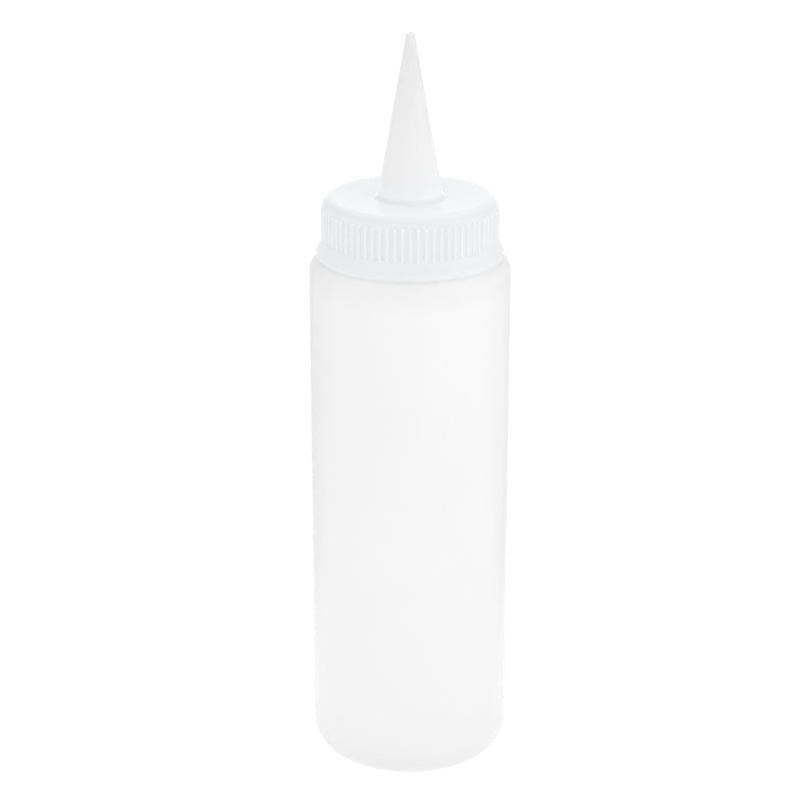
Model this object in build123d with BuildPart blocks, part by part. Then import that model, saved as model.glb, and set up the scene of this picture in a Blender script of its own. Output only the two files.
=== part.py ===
"""Squeeze bottle for sauces: a blow-moulded bottle, a moulded screw cap with its cone
nozzle, and the washer that seals them.

Millimetres, +Z up. The origin is the centre of the base, on the surface it stands on.
"""

import os

from build123d import *

# Driving dimensions of the bottle
body_diameter = 50.0
shoulder_height = 134.2  # from the table to the top of the shoulder
bottle_wall = 0.9
base_corner_radius = 7.9
foot_width = 2.0  # the flat ring that the bottle stands on
push_up_height = 2.5  # how far the middle of the base is domed inwards
shoulder_radius = 4.0
shoulder_width = 6.8  # from the neck, between the turns of its thread, to the side
neck_wall = 1.6
neck_height = 12.0  # from the shoulder to the lip
neck_fillet = 0.6
lip_fillet = 0.4

# Driving dimensions of the thread, right-handed and single-start
thread_lead = 4.23  # six turns to the inch
thread_depth = 1.3
thread_root_width = 2.2
thread_crest_width = 1.0
thread_fade_angle = 20.0  # over which each end of a ridge fades into its wall
thread_below_lip = 2.0  # from the lip to the middle of the bottle's top turn
bottle_turns = 1.5
cap_turns = 1.25

# Driving dimensions of the cap and its nozzle
cap_wall = 1.85  # of the skirt, between the grip ribs
rib_count = 72
rib_depth = 0.35
rib_radius = 0.55
rib_taper = 0.6  # height over which the ribs run out under the cap's edge
flare_depth = 1.65  # of the flared foot of the skirt, from the wall between the ribs
flare_height = 3.4
flare_fillet = 0.8
band_height = 0.9  # of the upright face under the flare
band_fillet = 0.4
cap_plate = 1.7  # at its edge
cap_edge_radius = 2.6
plate_dish = 0.6  # how far the top plate falls towards the nozzle
bore_chamfer = 0.4  # at the foot of the skirt, to lead the neck in
nozzle_height = 40.3  # from the edge of the top plate to the tip
nozzle_base_diameter = 16.3
nozzle_tip_diameter = 2.0
nozzle_hole_diameter = 1.2
nozzle_wall = 1.1  # at the base of the cone
nozzle_fillet = 1.4
nozzle_tip_fillet = 0.3

# Driving dimensions of the washer
washer_thickness = 1.5
washer_overhang = 0.8  # how far it stands inside the neck's bore
washer_chamfer = 0.2

# Clearances, and how deep ridges and ribs are rooted in their walls
thread_clearance = 0.3  # radial, from crest to root on both sides
thread_flank_gap = 0.25  # between the loaded flanks when the cap is tight
washer_clearance = 0.3  # from the washer's edge to the cap's bore
cap_shoulder_gap = 0.25  # from the foot of the skirt to the shoulder
ridge_embed = 0.25

# Sizes that follow
body_radius = body_diameter / 2
neck_radius = body_radius - shoulder_width
neck_bore_radius = neck_radius - neck_wall
lip_height = shoulder_height + neck_height
thread_crest_radius = neck_radius + thread_depth
cap_bore_radius = thread_crest_radius + thread_clearance
cap_crest_radius = neck_radius + thread_clearance
washer_top = lip_height + washer_thickness
cap_top = washer_top + cap_plate
cap_foot = shoulder_height + cap_shoulder_gap
rib_root_radius = cap_bore_radius + cap_wall
rib_crest_radius = rib_root_radius + rib_depth
band_radius = rib_root_radius + flare_depth
band_top = cap_foot + band_height
flare_top = band_top + flare_height
rib_top = cap_top - cap_edge_radius
plate_middle = cap_top - plate_dish
tip_height = cap_top + nozzle_height


def around(radius, angle):
    """The point at this radius and angle about the bottle's axis."""
    return Vector(radius, 0).rotate(Axis.Z, angle)


def thread_ridge(root_radius, crest_radius, start_height, turns):
    """A right-hand ridge rooted in the wall at root_radius, whose ends fade into the wall.

    start_height is the middle of the ridge where it starts, on the +X side.
    """
    outwards = 1 if crest_radius > root_radius else -1
    buried = -outwards * ridge_embed
    depth = crest_radius - root_radius
    with BuildPart() as ridge:
        with BuildLine() as helix:
            Helix(thread_lead, thread_lead * turns, root_radius, (0, 0, start_height))
        path = helix.edge()
        with BuildSketch(Plane(path @ 0, x_dir=(1, 0, 0), z_dir=path % 0)) as section:
            with BuildLine():
                Polyline(
                    (buried, -thread_root_width / 2),
                    (0, -thread_root_width / 2),
                    (depth, -thread_crest_width / 2),
                    (depth, thread_crest_width / 2),
                    (0, thread_root_width / 2),
                    (buried, thread_root_width / 2),
                    close=True,
                )
            make_face()
        sweep(section.sketch, path=path, is_frenet=True)

    # Each end is cut back along a ramp that rises from the wall to the crest.
    past_crest = crest_radius + outwards * thread_depth
    with BuildPart() as ramps:
        for turn, ahead in ((0, 1), (turns, -1)):
            end_angle = 360 * turn
            full_angle = end_angle + ahead * thread_fade_angle
            behind_angle = end_angle - ahead * thread_fade_angle
            end_height = start_height + thread_lead * turn
            with BuildSketch(Plane.XY.offset(end_height)):
                with BuildLine():
                    Polyline(
                        around(root_radius, end_angle),
                        around(crest_radius, full_angle),
                        around(past_crest, full_angle),
                        around(past_crest, end_angle),
                        around(past_crest, behind_angle),
                        around(root_radius, behind_angle),
                        close=True,
                    )
                make_face()
            extrude(amount=thread_lead / 2, both=True)
    return ridge.part - ramps.part


# Bottle: one wall all round, revolved, with the thread on its neck
corner_radius_inside = base_corner_radius - bottle_wall
shoulder_radius_inside = shoulder_radius - bottle_wall
corner_centre = body_radius - base_corner_radius
foot_inner_radius = corner_centre - foot_width
shoulder_centre = body_radius - shoulder_radius
shoulder_start = shoulder_height - shoulder_radius
bottle_thread_end = lip_height - thread_below_lip
bottle_thread_start = bottle_thread_end - thread_lead * bottle_turns

bottle_thread = thread_ridge(
    neck_radius, thread_crest_radius, bottle_thread_start, bottle_turns
)

with BuildPart() as bottle:
    with BuildSketch(Plane.XZ) as bottle_profile:
        with BuildLine():
            # Outside, from the middle of the base to the lip
            dome = TangentArc((0, push_up_height), (foot_inner_radius, 0), tangent=(1, 0))
            foot = Line(dome @ 1, (corner_centre, 0))
            corner = CenterArc((corner_centre, base_corner_radius), base_corner_radius, -90, 90)
            side = Line(corner @ 1, (body_radius, shoulder_start))
            shoulder = CenterArc((shoulder_centre, shoulder_start), shoulder_radius, 0, 90)
            to_neck = Line(shoulder @ 1, (neck_radius, shoulder_height))
            neck = Line(to_neck @ 1, (neck_radius, lip_height))
            lip = Line(neck @ 1, (neck_bore_radius, lip_height))
            # Inside, back down to the middle of the base
            bore = Line(lip @ 1, (neck_bore_radius, shoulder_height - bottle_wall))
            ceiling = Line(bore @ 1, (shoulder_centre, shoulder_height - bottle_wall))
            inner_shoulder = CenterArc(
                (shoulder_centre, shoulder_start), shoulder_radius_inside, 90, -90
            )
            inner_side = Line(inner_shoulder @ 1, (body_radius - bottle_wall, base_corner_radius))
            inner_corner = CenterArc(
                (corner_centre, base_corner_radius), corner_radius_inside, 0, -90
            )
            floor = Line(inner_corner @ 1, (foot_inner_radius, bottle_wall))
            inner_dome = TangentArc(
                (0, push_up_height + bottle_wall), floor @ 1, tangent=(1, 0)
            )
            Line(inner_dome @ 0, dome @ 0)
        make_face()
        corners = bottle_profile.vertices()
        fillet(corners.sort_by_distance((neck_radius, shoulder_height))[0], neck_fillet)
        fillet(corners.sort_by_distance((neck_radius, lip_height))[0], lip_fillet)
        fillet(corners.sort_by_distance((neck_bore_radius, lip_height))[0], lip_fillet)
    revolve(axis=Axis.Z)
    add(bottle_thread)

bottle.part.label = "bottle"


# Cap with its nozzle: one moulding, with grip ribs outside and a thread inside
nozzle_base_radius = nozzle_base_diameter / 2
nozzle_tip_radius = nozzle_tip_diameter / 2
nozzle_hole_radius = nozzle_hole_diameter / 2
nozzle_bore_radius = nozzle_base_radius - nozzle_wall
cap_edge_centre = rib_root_radius - cap_edge_radius
# The cap's ridge runs just under the bottle's, and pulls up against it when it is tight.
flank_slope = (thread_root_width - thread_crest_width) / 2 / thread_depth
flanks_across_gap = thread_root_width - flank_slope * (thread_depth + thread_clearance)
cap_thread_start = bottle_thread_start - flanks_across_gap - thread_flank_gap

cap_thread = thread_ridge(cap_bore_radius, cap_crest_radius, cap_thread_start, cap_turns)

with BuildPart() as nozzle_cap:
    with BuildSketch(Plane.XZ) as cap_profile:
        with BuildLine():
            # Outside, from the foot of the skirt to the tip
            foot_face = Line((cap_bore_radius, cap_foot), (band_radius, cap_foot))
            band = Line(foot_face @ 1, (band_radius, band_top))
            flare = Line(band @ 1, (rib_root_radius, flare_top))
            skirt = Line(flare @ 1, (rib_root_radius, rib_top))
            edge = CenterArc((cap_edge_centre, rib_top), cap_edge_radius, 0, 90)
            plate = Line(edge @ 1, (nozzle_base_radius, plate_middle))
            cone = Line(plate @ 1, (nozzle_tip_radius, tip_height))
            tip = Line(cone @ 1, (nozzle_hole_radius, tip_height))
            # Inside, back down to the foot
            nozzle_bore = Line(tip @ 1, (nozzle_bore_radius, washer_top))
            underside = Line(nozzle_bore @ 1, (cap_bore_radius, washer_top))
            Line(underside @ 1, foot_face @ 0)
        make_face()
        corners = cap_profile.vertices()
        fillet(corners.sort_by_distance((nozzle_base_radius, plate_middle))[0], nozzle_fillet)
        fillet(corners.sort_by_distance((band_radius, cap_foot))[0], band_fillet)
        fillet(corners.sort_by_distance((band_radius, band_top))[0], flare_fillet)
        fillet(corners.sort_by_distance((rib_root_radius, flare_top))[0], flare_fillet)
        fillet(corners.sort_by_distance((nozzle_tip_radius, tip_height))[0], nozzle_tip_fillet)
        chamfer(corners.sort_by_distance((cap_bore_radius, cap_foot))[0], bore_chamfer)
    revolve(axis=Axis.Z)
    add(cap_thread)

with BuildPart() as grip_ribs:
    with BuildSketch(Plane.XY.offset(band_top)):
        with PolarLocations(rib_crest_radius - rib_radius, rib_count):
            Circle(rib_radius)
        Circle(rib_root_radius - ridge_embed, mode=Mode.SUBTRACT)
    extrude(amount=rib_top - band_top)
    with BuildSketch(Plane.XZ):
        with BuildLine():
            Polyline(
                (0, 0),
                (rib_crest_radius + 1, 0),
                (rib_crest_radius + 1, rib_top - rib_taper - 1),
                (rib_crest_radius, rib_top - rib_taper),
                (rib_root_radius, rib_top),
                (0, rib_top),
                close=True,
            )
        make_face()
    revolve(axis=Axis.Z, mode=Mode.INTERSECT)

with nozzle_cap:
    add(grip_ribs.part)

nozzle_cap.part.label = "nozzle_cap"


# Washer: a flat ring held in the top of the cap, between the plate and the lip
with BuildPart() as seal_washer:
    with BuildSketch(Plane.XY.offset(lip_height)):
        Circle(cap_bore_radius - washer_clearance)
        Circle(neck_bore_radius - washer_overhang, mode=Mode.SUBTRACT)
    extrude(amount=washer_thickness)
    chamfer(seal_washer.edges().filter_by(GeomType.CIRCLE), washer_chamfer)

seal_washer.part.label = "seal_washer"


os.makedirs("parts", exist_ok=True)
export_step(bottle.part, "parts/bottle.step")
export_step(nozzle_cap.part, "parts/nozzle_cap.step")
export_step(seal_washer.part, "parts/seal_washer.step")
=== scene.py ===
# %% [markdown]
# # A squeeze bottle for sauces
#
# The object is a milky, see-through bottle of natural polyethylene with a ribbed screw cap.
# The cap carries one tall cone nozzle. It is nearly white, so its form is told only by how
# light passes through its walls and slides over its edges. This lesson loads the working
# model, sets the camera and a white studio around it, and then gives each piece its plastic.

# %% Load the frame
import math

import bmesh
import bpy
from mathutils import Matrix, Vector


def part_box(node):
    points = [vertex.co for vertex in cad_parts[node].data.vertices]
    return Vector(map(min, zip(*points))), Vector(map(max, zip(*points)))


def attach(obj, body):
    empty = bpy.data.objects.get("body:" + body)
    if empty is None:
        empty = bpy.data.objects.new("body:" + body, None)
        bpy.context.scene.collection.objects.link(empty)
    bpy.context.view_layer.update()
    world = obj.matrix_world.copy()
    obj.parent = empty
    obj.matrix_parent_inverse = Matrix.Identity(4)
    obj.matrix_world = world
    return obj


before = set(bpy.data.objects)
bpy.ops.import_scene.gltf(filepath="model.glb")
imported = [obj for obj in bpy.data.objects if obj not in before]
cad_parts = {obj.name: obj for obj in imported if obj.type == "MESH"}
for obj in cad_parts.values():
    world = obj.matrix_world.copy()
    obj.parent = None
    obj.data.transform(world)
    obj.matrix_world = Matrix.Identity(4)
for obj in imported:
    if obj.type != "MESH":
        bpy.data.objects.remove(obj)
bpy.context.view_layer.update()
MM = 0.001
print("pieces in the frame:", ", ".join(sorted(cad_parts)))

# %% [markdown]
# ## Measure first
#
# The camera, the aim of the lamps and the seams are placed from the boxes of the working
# model's own pieces. The numbers could be typed in, but then each change of size would have to
# be made twice. Heights at which a colour changes are typed in, as millimetres up the bottle as
# it is now, so they are the one thing to edit by hand if it is made taller.

# %% Measure the pieces that the rest is placed from
bottle_low, bottle_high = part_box("bottle")
cap_low, cap_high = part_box("nozzle_cap")
body_radius = (bottle_high.x - bottle_low.x) / 2
print(f"body radius {body_radius / MM:.1f} mm, tip at {cap_high.z / MM:.1f} mm")

# %% [markdown]
# ## The camera
#
# A long lens some sixty centimetres away looks a little down on the bottle. A long lens keeps
# the sides of the body nearly parallel, and the height shows the top of the cap as an oval.
# The camera could be aimed with a constraint, but a plain tilt is easier to read and repeat.

# %% Set the camera
CAMERA_DISTANCE = 24.3 * body_radius
CAMERA_HEIGHT = 12.62 * body_radius
CAMERA_SIDE = -0.1 * body_radius
CAMERA_TILT = math.radians(19.89)
LENS_MM = 114.8

camera_data = bpy.data.cameras.new("camera")
camera_data.lens = LENS_MM
camera_data.clip_end = 20
camera = bpy.data.objects.new("camera", camera_data)
camera.location = (CAMERA_SIDE, -CAMERA_DISTANCE, CAMERA_HEIGHT)
camera.rotation_euler = (math.pi / 2 - CAMERA_TILT, 0, 0)
scene = bpy.context.scene
scene.collection.objects.link(camera)
scene.camera = camera
print("camera at", [round(value, 3) for value in camera.location])

# %% [markdown]
# ## Helpers for materials
#
# Blender works in linear light, while people write colours as sRGB hex, so one function turns
# the one into the other. The rest add a node, a smooth step, a sum or a blend in one line each.
# Nodes could be laid out by hand in the editor, but a script can be read, changed and repeated.


# %% Helpers for colours and nodes
def linear(hex_colour):
    """An sRGB hex colour such as "#E8EAEC" as linear RGBA."""
    channels = [int(hex_colour[i:i + 2], 16) / 255 for i in (1, 3, 5)]
    light = [c / 12.92 if c <= 0.04045 else ((c + 0.055) / 1.055) ** 2.4 for c in channels]
    return (*light, 1.0)


def add_node(tree, kind, settings=None, **inputs):
    """Adds a node. settings are its own properties; inputs are values or sockets to link.

    An input is named as in Blender, with _ for each space. in0 and in1 are numbered inputs.
    """
    node = tree.nodes.new(kind)
    for name, value in (settings or {}).items():
        setattr(node, name, value)
    for name, value in inputs.items():
        numbered = name[:2] == "in" and name[2:].isdigit()
        socket = node.inputs[int(name[2:]) if numbered else name.replace("_", " ")]
        if isinstance(value, bpy.types.NodeSocket):
            tree.links.new(value, socket)
        else:
            socket.default_value = value
    return node


def new_material(name):
    """An empty material with its output node."""
    material = bpy.data.materials.new(name)
    material.use_nodes = True
    material.node_tree.nodes.clear()
    output = material.node_tree.nodes.new("ShaderNodeOutputMaterial")
    return material, material.node_tree, output


def ramp(tree, value, start, end, low=0.0, high=1.0):
    """A smooth step from low to high while value goes from start to end."""
    node = add_node(
        tree, "ShaderNodeMapRange", {"interpolation_type": "SMOOTHSTEP"},
        Value=value, From_Min=start, From_Max=end, To_Min=low, To_Max=high,
    )
    return node.outputs[0]


def maths(tree, operation, first, second=0.0):
    """One sum on two values."""
    node = add_node(tree, "ShaderNodeMath", {"operation": operation}, in0=first, in1=second)
    return node.outputs[0]


def blend(tree, amount, first, second):
    """The first colour where amount is 0 and the second where it is 1."""
    node = add_node(
        tree, "ShaderNodeMix", {"data_type": "RGBA"}, in0=amount, in6=first, in7=second
    )
    return node.outputs[2]


# %% [markdown]
# ## The studio
#
# The bottle stands on a white table in an all-white room, so its outline has to come from the
# plastic alone. A grey flag stands behind it on each side and takes some light off its flanks:
# without that, white plastic is lost on white. A bank of lamps overhead lights the cap's top.
# The room, the flags and the bank could be modelled, but a world of nodes has no corners and
# costs no time. The camera sees a plain white room, because real flags would stand out of view.

# %% Build the white room with its flags
# Light bounces many times between a white room and a milky wall, so it gets more bounces.
scene.view_settings.view_transform = "Standard"
scene.cycles.diffuse_bounces = 12
scene.cycles.max_bounces = 24
ROOM = 1.0
FLAG = 0.7
OVERHEAD = 0.17
FRONT_DIP = 0.05
SEEN = 1.02
WHITE = linear("#FFFFFF")
# Each pair says from where to where a part of the room fades, as a share of the direction.
BESIDE = (0.2, 0.5)
BEHIND = (0.0, 0.3)
FLAG_TOP = (0.55, 0.85)
UP = (0.6, 0.9)
IN_FRONT = (-1.0, -0.3)

world = bpy.data.worlds.new("white_room")
world.use_nodes = True
scene.world = world
sky = world.node_tree
sky.nodes.clear()
sky_output = sky.nodes.new("ShaderNodeOutputWorld")
direction = add_node(sky, "ShaderNodeTexCoord")
towards = add_node(sky, "ShaderNodeSeparateXYZ", Vector=direction.outputs["Generated"])
sideways = maths(sky, "ABSOLUTE", towards.outputs["X"])
beside = ramp(sky, sideways, *BESIDE)
behind = ramp(sky, towards.outputs["Y"], *BEHIND)
below_top = ramp(sky, towards.outputs["Z"], *FLAG_TOP, 1.0, 0.0)
flag = maths(sky, "MULTIPLY", maths(sky, "MULTIPLY", beside, behind), below_top)
flag_shade = maths(sky, "MULTIPLY", flag, ROOM - FLAG)
overhead = ramp(sky, towards.outputs["Z"], *UP, ROOM, ROOM + OVERHEAD)
front_shade = ramp(sky, towards.outputs["Y"], *IN_FRONT, FRONT_DIP, 0.0)
level = maths(sky, "SUBTRACT", overhead, maths(sky, "ADD", flag_shade, front_shade))

# %% Light the room
room_light = add_node(sky, "ShaderNodeBackground", Color=WHITE, Strength=level)
seen_light = add_node(sky, "ShaderNodeBackground", Color=WHITE, Strength=SEEN)
ray_kind = add_node(sky, "ShaderNodeLightPath")
room_or_seen = add_node(
    sky, "ShaderNodeMixShader", Fac=ray_kind.outputs["Is Camera Ray"],
    in1=room_light.outputs[0], in2=seen_light.outputs[0],
)
sky.links.new(room_or_seen.outputs[0], sky_output.inputs["Surface"])
print(f"room at {ROOM}, flags at {FLAG}, overhead at {ROOM + OVERHEAD:.2f}")

# %% [markdown]
# ## The lamps
#
# A broad soft box on the right makes that side of the bottle a little paler than the left, as a
# window would. A small lamp with a narrow grid adds a touch to the right of the cap alone. A
# spot lamp could do that, but its rim is harder. The small lamp is kept out of reflections, so
# it leaves no hard little highlight on the glossy cap.


# %% Helper for a soft light
def soft_box(name, place, size, power):
    """A square soft light at place, size metres wide, that faces the middle of the bottle."""
    light = bpy.data.lights.new(name, "AREA")
    light.shape = "SQUARE"
    light.size = size
    light.energy = power
    lamp = bpy.data.objects.new(name, light)
    lamp.location = place
    aim = Vector((0, 0, cap_high.z / 2)) - lamp.location
    lamp.rotation_euler = aim.to_track_quat("-Z", "Y").to_euler()
    scene.collection.objects.link(lamp)
    return lamp


# %% Hang the soft box and the gridded lamp
RIGHT_PLACE = Vector((1.2, -0.6, 1.0))
RIGHT_SIZE = 1.6
RIGHT_POWER = 1.0
CAP_PLACE = Vector((0.85, -0.55, 0.40))
CAP_SIZE = 0.16
CAP_POWER = 0.004
CAP_AIM = cap_low.z + 20 * MM
GRID_SPREAD = math.radians(7)
soft_box("soft_box_right", RIGHT_PLACE, RIGHT_SIZE, RIGHT_POWER)
gridded = soft_box("gridded_box_on_cap", CAP_PLACE, CAP_SIZE, CAP_POWER)
gridded.data.spread = GRID_SPREAD
cap_middle = Vector((0, 0, CAP_AIM))
gridded.rotation_euler = (cap_middle - gridded.location).to_track_quat("-Z", "Y").to_euler()
gridded.visible_glossy = False
print(f"soft box at {RIGHT_POWER} W, gridded lamp at {CAP_POWER} W")

# %% [markdown]
# ## The table
#
# The bottle stands on a light table: a sheet of opal acrylic that glows evenly from below. It
# takes the shadow away and keeps the foot of the bottle clean. Acrylic is glossy, but this one
# has a matt face, so it mirrors nothing. Behind the bottle, on both sides, the glow is lower,
# as if grey cards lay there. The skin mirrors them where it turns away, which draws a thin dark
# rim down both sides of the body. Real cards would show from other sides, so these only count
# for light on the bottle, and the table itself looks white.

# %% Lay the table
TABLE_GLOW = 0.95
TABLE_RADIUS = 3.0
TABLE_DROP = 0.05 * MM
floor_mesh = bmesh.new()
bmesh.ops.create_circle(
    floor_mesh, cap_ends=True, segments=64, radius=TABLE_RADIUS,
    matrix=Matrix.Translation((0, 0, -TABLE_DROP)),
)
floor_data = bpy.data.meshes.new("table")
floor_mesh.to_mesh(floor_data)
floor_mesh.free()
table = bpy.data.objects.new("table", floor_data)
scene.collection.objects.link(table)
print(f"table {TABLE_RADIUS * 2:.0f} m across")

# %% Light the table and lay the cards
CARD = 0.69
CARD_SIDE = 0.04
CARD_SPLAY = 0.05
CARD_SOFT = 0.05
CARD_FRONT = 0.02
CARD_BACK = 0.10
opal_table, tree, output = new_material("opal_acrylic_light_table")
place = add_node(tree, "ShaderNodeTexCoord").outputs["Object"]
spot = add_node(tree, "ShaderNodeSeparateXYZ", Vector=place)
beside = maths(tree, "ABSOLUTE", spot.outputs["X"])
card_side = maths(tree, "ADD", maths(tree, "MULTIPLY", spot.outputs["Y"], CARD_SPLAY), CARD_SIDE)
past_side = maths(tree, "SUBTRACT", beside, card_side)
under_card = ramp(tree, past_side, 0.0, CARD_SOFT)
level_behind = ramp(tree, spot.outputs["Y"], CARD_FRONT, CARD_BACK, 0.0, TABLE_GLOW - CARD)
card_shade = maths(tree, "MULTIPLY", under_card, level_behind)
card_light = maths(tree, "SUBTRACT", TABLE_GLOW, card_shade)
seen = add_node(tree, "ShaderNodeLightPath").outputs["Is Camera Ray"]
glow = add_node(
    tree, "ShaderNodeMix", {"data_type": "FLOAT"}, in0=seen, in2=card_light, in3=TABLE_GLOW
)
opal = add_node(
    tree, "ShaderNodeBsdfPrincipled",
    Base_Color=linear("#5A5A5A"), Roughness=0.7, Specular_IOR_Level=0.0,
    Emission_Color=WHITE, Emission_Strength=glow.outputs[0],
)
tree.links.new(opal.outputs[0], output.inputs["Surface"])
table.data.materials.append(opal_table)
print(f"table glows at {TABLE_GLOW}, and at {CARD} under the cards")

# %% [markdown]
# ## What the two plastics share
#
# Both mouldings are natural low-density polyethylene, with no pigment. Light enters, scatters
# and leaves a little further on, so edges look soft and shade never gets deep. That could be a
# clear wall with a milky volume inside, but it is slow and full of noise. Here the wall scatters
# light just under its skin, and a faint painted glow, strongest in tight gaps, stands in for
# light that came right through. Patterns are placed in real metres on the piece, so they stay
# with it when it turns.

# %% Values that both plastics share
POLYETHYLENE_IOR = 1.51
SCATTER = 0.5 * MM
# Red, green and blue scatter alike, so the plastic stays white.
EVEN = (1.0, 1.0, 1.0)
GLOW_REACH = 6 * MM
# Most of a noise's values lie in this span.
NOISE_SPAN = (0.3, 0.7)
print(f"light scatters {SCATTER / MM:.1f} mm under the skin")


# %% Helpers for the plastics
def place_on_piece(tree):
    """A point on the piece, its distance from the axis and its height, all in metres."""
    place = add_node(tree, "ShaderNodeTexCoord").outputs["Object"]
    parts = add_node(tree, "ShaderNodeSeparateXYZ", Vector=place)
    flat = add_node(tree, "ShaderNodeCombineXYZ", X=parts.outputs["X"], Y=parts.outputs["Y"])
    away = add_node(tree, "ShaderNodeVectorMath", {"operation": "LENGTH"}, in0=flat.outputs[0])
    return place, away.outputs["Value"], parts.outputs["Z"]


def noise(tree, place, size, detail=2.0):
    """Soft random values with features about size metres across."""
    node = add_node(tree, "ShaderNodeTexNoise", Vector=place, Scale=1 / size, Detail=detail)
    return node.outputs[0]


def bump(tree, height, depth, under=None):
    """Raises the surface by up to depth metres, on top of another bump if one is given."""
    node = add_node(tree, "ShaderNodeBump", Height=height, Distance=depth, Strength=1.0)
    if under is not None:
        tree.links.new(under, node.inputs["Normal"])
    return node.outputs[0]


def painted_glow(tree, reach, in_crevice, in_open=0.0, until=0.6):
    """A painted glow: a faint emission that stands in for light that came through the wall.

    It is in_crevice where nothing is open to the room within reach, and fades to in_open where
    the share that is open comes to until.
    """
    open_sky = add_node(tree, "ShaderNodeAmbientOcclusion", {"samples": 8}, Distance=reach)
    return ramp(tree, open_sky.outputs["AO"], 0.0, until, in_crevice, in_open)


def by_height(tree, height, stops):
    """A colour that changes with height. stops are (height in mm, hex colour), from below."""
    bottom, top = stops[0][0], stops[-1][0]
    rise = add_node(
        tree, "ShaderNodeMapRange", Value=height, From_Min=bottom * MM, From_Max=top * MM
    )
    node = add_node(tree, "ShaderNodeValToRGB", Fac=rise.outputs[0])
    steps = node.color_ramp.elements
    while len(steps) < len(stops):
        steps.new(0.5)
    for step, (level_mm, hex_colour) in zip(steps, stops):
        step.position = (level_mm - bottom) / (top - bottom)
    for step, (level_mm, hex_colour) in zip(steps, stops):
        step.color = linear(hex_colour)
    return node.outputs[0]


# %% [markdown]
# ## The bottle's plastic
#
# The bottle is blown: a soft tube of polyethylene is pressed by air against a mould that was
# blasted with fine grit. That leaves a satin skin with slow waves in it, so highlights have no
# sharp rim. The stretched side is thin and pale. The colour follows height: the base corner is
# painted darker as shade where it turns down to the table, and the shoulder is painted greyer,
# partly for its thicker plastic and partly as shade under the cap. It could be painted on, but
# a colour by height is smooth and goes all the way round.

# %% The bottle's plastic
# Colours by height, from below: the darker base corner is painted shade, and the greyer shoulder
# is partly thicker plastic and partly painted shade under the cap.
BOTTLE_STOPS_WITH_PAINTED_SHADE = [
    (0, "#E2E2E2"), (8, "#EEEEEE"), (20, "#F2F2F2"), (60, "#F3F3F3"), (100, "#F1F1F1"),
    (126, "#F2F2F2"), (134, "#EAEAEA"),
]
BOTTLE_CLOUD = "#F0F0F0"
CLOUD_SPAN = (0.4, 0.7)
CLOUD_MOST = 0.3
# A painted glow in tight gaps, such as the slot under the cap's foot, stands in for light that
# came through the wall.
BOTTLE_PAINTED_GLOW = 0.12
BOTTLE_ROUGH = (0.11, 0.15)
CLOUD_SIZE = 25 * MM
WAVE_SIZE = 14 * MM
WAVE_DEPTH = 0.01 * MM
# The blasted grit is finer than this, but it is drawn as coarse as it needs to show.
GRIT_SIZE = 0.35 * MM
GRIT_DEPTH = 0.0015 * MM
bottle_plastic, tree, output = new_material("natural_polyethylene_blown")
place, away, height = place_on_piece(tree)
clouds = noise(tree, place, CLOUD_SIZE)
wave = noise(tree, place, WAVE_SIZE)
grain = noise(tree, place, GRIT_SIZE)
wall_colour_with_painted_shade = by_height(tree, height, BOTTLE_STOPS_WITH_PAINTED_SHADE)
cloud = ramp(tree, clouds, *CLOUD_SPAN, 0.0, CLOUD_MOST)
clouded = blend(tree, cloud, wall_colour_with_painted_shade, linear(BOTTLE_CLOUD))
surface = bump(tree, grain, GRIT_DEPTH, bump(tree, wave, WAVE_DEPTH))
rough = ramp(tree, wave, *NOISE_SPAN, *BOTTLE_ROUGH)
shader = add_node(
    tree, "ShaderNodeBsdfPrincipled",
    Base_Color=clouded, Roughness=rough, IOR=POLYETHYLENE_IOR,
    Subsurface_Weight=1.0, Subsurface_Scale=SCATTER, Subsurface_Radius=EVEN,
    Normal=surface,
    Emission_Color=WHITE,
    Emission_Strength=painted_glow(tree, GLOW_REACH, BOTTLE_PAINTED_GLOW),
)
tree.links.new(shader.outputs[0], output.inputs["Surface"])
print(f"bottle: satin skin, waves {WAVE_DEPTH / MM:.2f} mm deep")

# %% [markdown]
# ## The cap's plastic
#
# The cap is the same polyethylene, injected under pressure into polished steel, so it is harder
# and has the crisper shine. Its skirt is thick and has the neck behind it, so it is cooler and
# greyer than the body: the cool tint is its own, and the grey is partly its own clearer plastic
# and partly painted shade from the neck behind it. The rounded edge of its top plate is painted
# greyest, as shade where it turns over. The thin cone is paler and darker towards its tip. The
# edge could be a piece of its own, but a ring drawn by distance from the axis needs no seam.

# %% The cap's plastic
# Colours by height. The greyer skirt is partly painted shade from the neck behind it.
CAP_STOPS_WITH_PAINTED_SHADE = [
    (134, "#D8D9DB"), (146.8, "#D8D9DB"), (148.2, "#D5D7D9"), (149.3, "#D5D7D9"),
    (150.3, "#E3E3E4"), (153, "#DFDFE0"), (189, "#D3D3D3"),
]
# Painted shade on the rounded edge of the top plate.
CAP_EDGE_PAINTED_SHADE = "#D4D5D7"
CAP_ROUGH = (0.15, 0.21)
EDGE_RING = 21.2 * MM
EDGE_NARROW = 0.2 * MM
EDGE_WIDE = 0.6 * MM
EDGE_FROM = 147.6 * MM
EDGE_FULL = 148.2 * MM
# A painted glow: a faint emission that stands in for light that came through the wall, strongest
# in tight gaps such as the cone's foot.
CAP_PAINTED_GLOW_IN_GAPS = 0.28
# The pale bottle passes light up into the cap, so a faint painted glow is put on the cap in the
# open too.
CAP_PAINTED_GLOW_IN_OPEN = 0.15
CAP_UNTIL = 0.9
FLOW_SIZE = 9 * MM
FLOW_DEPTH = 0.02 * MM
TOOL_SIZE = 0.25 * MM
TOOL_DEPTH = 0.002 * MM
cap_plastic, tree, output = new_material("natural_polyethylene_moulded")
place, away, height = place_on_piece(tree)
flow = noise(tree, place, FLOW_SIZE)
grain = noise(tree, place, TOOL_SIZE)
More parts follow.
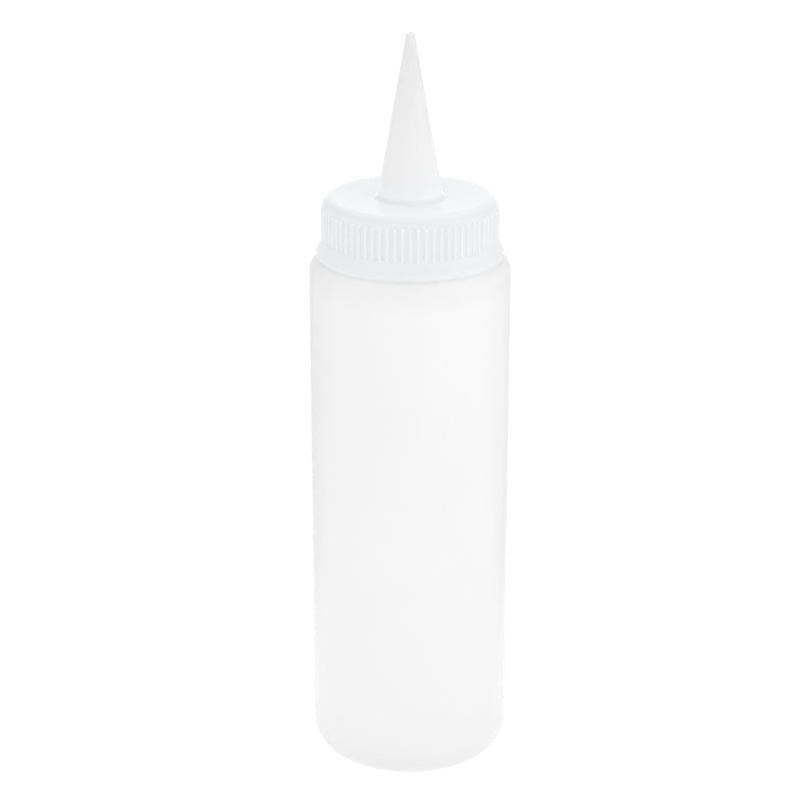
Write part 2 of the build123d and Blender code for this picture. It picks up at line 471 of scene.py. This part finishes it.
# Painted shade: a grey ring along the rounded edge of the top plate.
off_edge = maths(tree, "ABSOLUTE", maths(tree, "SUBTRACT", away, EDGE_RING))
in_ring = ramp(tree, off_edge, EDGE_NARROW, EDGE_WIDE, 1.0, 0.0)
high_up = ramp(tree, height, EDGE_FROM, EDGE_FULL)
painted_edge_shade = maths(tree, "MULTIPLY", in_ring, high_up)
colour = blend(tree, painted_edge_shade, by_height(tree, height, CAP_STOPS_WITH_PAINTED_SHADE), linear(CAP_EDGE_PAINTED_SHADE))
surface = bump(tree, grain, TOOL_DEPTH, bump(tree, flow, FLOW_DEPTH))
rough = ramp(tree, flow, *NOISE_SPAN, *CAP_ROUGH)
shader = add_node(
    tree, "ShaderNodeBsdfPrincipled",
    Base_Color=colour, Roughness=rough, IOR=POLYETHYLENE_IOR,
    Subsurface_Weight=1.0, Subsurface_Scale=SCATTER, Subsurface_Radius=EVEN,
    Normal=surface,
    Emission_Color=WHITE,
    Emission_Strength=painted_glow(tree, GLOW_REACH, CAP_PAINTED_GLOW_IN_GAPS, CAP_PAINTED_GLOW_IN_OPEN, CAP_UNTIL),
)
tree.links.new(shader.outputs[0], output.inputs["Surface"])
print(f"cap: glossy skin, greyest in a ring of radius {EDGE_RING / MM:.1f} mm")

# %% [markdown]
# ## The washer
#
# The washer is cut from a sheet of white polyethylene foam. Its cut face shows closed cells a
# quarter of a millimetre across. Soft noise would look like felt, so round cells are drawn. It
# is only seen with the cap off, but it gets its own matt finish, because that is what tells
# foam from the glossy plastic beside it.

# %% Foam for the washer
CELL_SIZE = 0.25 * MM
CELL_DEPTH = 0.02 * MM
foam, tree, output = new_material("polyethylene_foam")
place, away, height = place_on_piece(tree)
cell_pattern = add_node(tree, "ShaderNodeTexVoronoi", Vector=place, Scale=1 / CELL_SIZE)
cells = cell_pattern.outputs["Distance"]
surface = bump(tree, cells, CELL_DEPTH)
shader = add_node(
    tree, "ShaderNodeBsdfPrincipled",
    Base_Color=blend(tree, cells, linear("#F4F4F2"), linear("#E8E8E4")),
    Roughness=ramp(tree, cells, 0.0, 0.8, 0.75, 0.9), IOR=1.4, Normal=surface,
)
tree.links.new(shader.outputs[0], output.inputs["Surface"])
print(f"washer: foam with cells {CELL_SIZE / MM:.2f} mm across")

# %% [markdown]
# ## Plastic onto pieces
#
# The working model comes as three pieces whose shapes are already exact. They are left as they
# are, and only their material slots are filled. A copy could be dressed up instead, but it
# would have to be kept in step with the original.

# %% Give each piece its plastic
PLASTICS = {"bottle": bottle_plastic, "nozzle_cap": cap_plastic, "seal_washer": foam}
for node, plastic in PLASTICS.items():
    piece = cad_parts[node]
    piece.data.materials.clear()
    piece.data.materials.append(plastic)
    print(f"{node} is made of {plastic.name}")

# %% [markdown]
# ## The mould's parting line
#
# A bottle is blown between two halves of a mould. Where they meet, a hair of plastic stands
# proud down both sides, from the shoulder to the foot. Under the base the two halves pinch the
# tube shut, which leaves a short weld across the dome. Both are far too fine for the working
# model, so they are added here as beads that are half sunk in the wall. A bump in the plastic
# would shade like a seam, but it wouldn't be in the shape. Each bead is one small face that is
# pushed along the wall and spun round its corners.

# %% Sizes of the seams and of the wall they follow
SEAM_WIDTH = 0.30 * MM
SEAM_THICK = 0.16 * MM
WELD_WIDTH = 0.9 * MM
WELD_THICK = 0.3 * MM
WELD_HALF = 11 * MM
SHOULDER_ROUND = 4.0 * MM
BASE_ROUND = 7.9 * MM
DOME_RISE = 2.5 * MM
FOOT_FLAT = 2.0 * MM
NECK_HEIGHT = 12.0 * MM
DOME_REACH = body_radius - BASE_ROUND - FOOT_FLAT
shoulder_z = bottle_high.z - NECK_HEIGHT
SHOULDER_SPIN = math.radians(60)
CORNER_SPIN = math.radians(78)
SHOULDER_STEPS = 12
CORNER_STEPS = 20
WELD_STEPS = 16
dome_round = (DOME_REACH ** 2 + DOME_RISE ** 2) / (2 * DOME_RISE)
print(f"the dome under the base has a radius of {dome_round / MM:.1f} mm")


# %% Helpers for a bead
def small_face(mesh, place, across, along, turn=0.0):
    """One face at place, across wide in X and along wide in Y, turned about Y."""
    size = Matrix.Diagonal((across, along, 1.0, 1.0))
    spot = Matrix.Translation(place) @ Matrix.Rotation(turn, 4, "Y") @ size
    bmesh.ops.create_grid(mesh, x_segments=1, y_segments=1, size=0.5, matrix=spot)
    return list(mesh.faces)


def turn_mesh(mesh, centre, angle):
    """Turns all of the mesh about Y at centre."""
    bmesh.ops.rotate(
        mesh, verts=mesh.verts, cent=centre, matrix=Matrix.Rotation(angle, 3, "Y")
    )


def spin_face(mesh, faces, centre, angle, steps):
    """Sweeps the face about Y at centre. Returns the last face."""
    made = bmesh.ops.spin(
        mesh, geom=faces, cent=centre, axis=(0, 1, 0), angle=angle, steps=steps,
        use_duplicate=False,
    )
    return [item for item in made["geom_last"] if isinstance(item, bmesh.types.BMFace)]


def push_face(mesh, faces, move):
    """Extrudes the face by move. Returns the last face."""
    made = bmesh.ops.extrude_face_region(mesh, geom=faces)["geom"]
    corners = [item for item in made if isinstance(item, bmesh.types.BMVert)]
    bmesh.ops.translate(mesh, vec=move, verts=corners)
    return [item for item in made if isinstance(item, bmesh.types.BMFace)]


def finish_piece(mesh, name, material, body):
    """Turns the mesh into an object with its material, which rides on a body of the model."""
    inner = [face for face in mesh.faces if all(len(edge.link_faces) > 2 for edge in face.edges)]
    bmesh.ops.delete(mesh, geom=inner, context="FACES_ONLY")
    bmesh.ops.remove_doubles(mesh, verts=mesh.verts, dist=0.001 * MM)
    bmesh.ops.recalc_face_normals(mesh, faces=mesh.faces)
    open_edges = [edge for edge in mesh.edges if len(edge.link_faces) != 2]
    data = bpy.data.meshes.new(name)
    mesh.to_mesh(data)
    mesh.free()
    data.materials.append(material)
    piece = bpy.data.objects.new(name, data)
    scene.collection.objects.link(piece)
    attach(piece, body)
    print(f"{name}: {len(data.polygons)} faces, {len(open_edges)} open edges")
    return piece


# %% Run a parting line down each side
for side, name in ((1, "parting_line_right"), (-1, "parting_line_left")):
    mesh = bmesh.new()
    top = Vector((side * body_radius, 0, shoulder_z - SHOULDER_ROUND))
    bend = Vector((side * (body_radius - SHOULDER_ROUND), 0, shoulder_z - SHOULDER_ROUND))
    corner = Vector((side * (body_radius - BASE_ROUND), 0, BASE_ROUND))
    face = small_face(mesh, top, SEAM_THICK, SEAM_WIDTH)
    turn_mesh(mesh, bend, -side * SHOULDER_SPIN)
    face = spin_face(mesh, face, bend, side * SHOULDER_SPIN, SHOULDER_STEPS)
    down_the_wall = corner - bend + Vector((side * (BASE_ROUND - SHOULDER_ROUND), 0, 0))
    face = push_face(mesh, face, down_the_wall)
    spin_face(mesh, face, corner, side * CORNER_SPIN, CORNER_STEPS)
    finish_piece(mesh, name, bottle_plastic, "bottle_body")

# %% [markdown]
# ## The weld under the base
#
# The two halves of the mould pinch the soft tube flat along a line, and what is cut off leaves
# a low ridge. It follows the dome, so its face is spun about the dome's own centre. A straight
# bar would sink in at its middle or stand off at its ends.

# %% Lay the weld under the base
mesh = bmesh.new()
dome_centre = Vector((0, 0, DOME_RISE - dome_round))
half_angle = math.asin(WELD_HALF / dome_round)
face = small_face(mesh, Vector((0, 0, DOME_RISE)), WELD_THICK, WELD_WIDTH, math.radians(90))
turn_mesh(mesh, dome_centre, -half_angle)
spin_face(mesh, face, dome_centre, 2 * half_angle, WELD_STEPS)
finish_piece(mesh, "pinch_weld", bottle_plastic, "bottle_body")
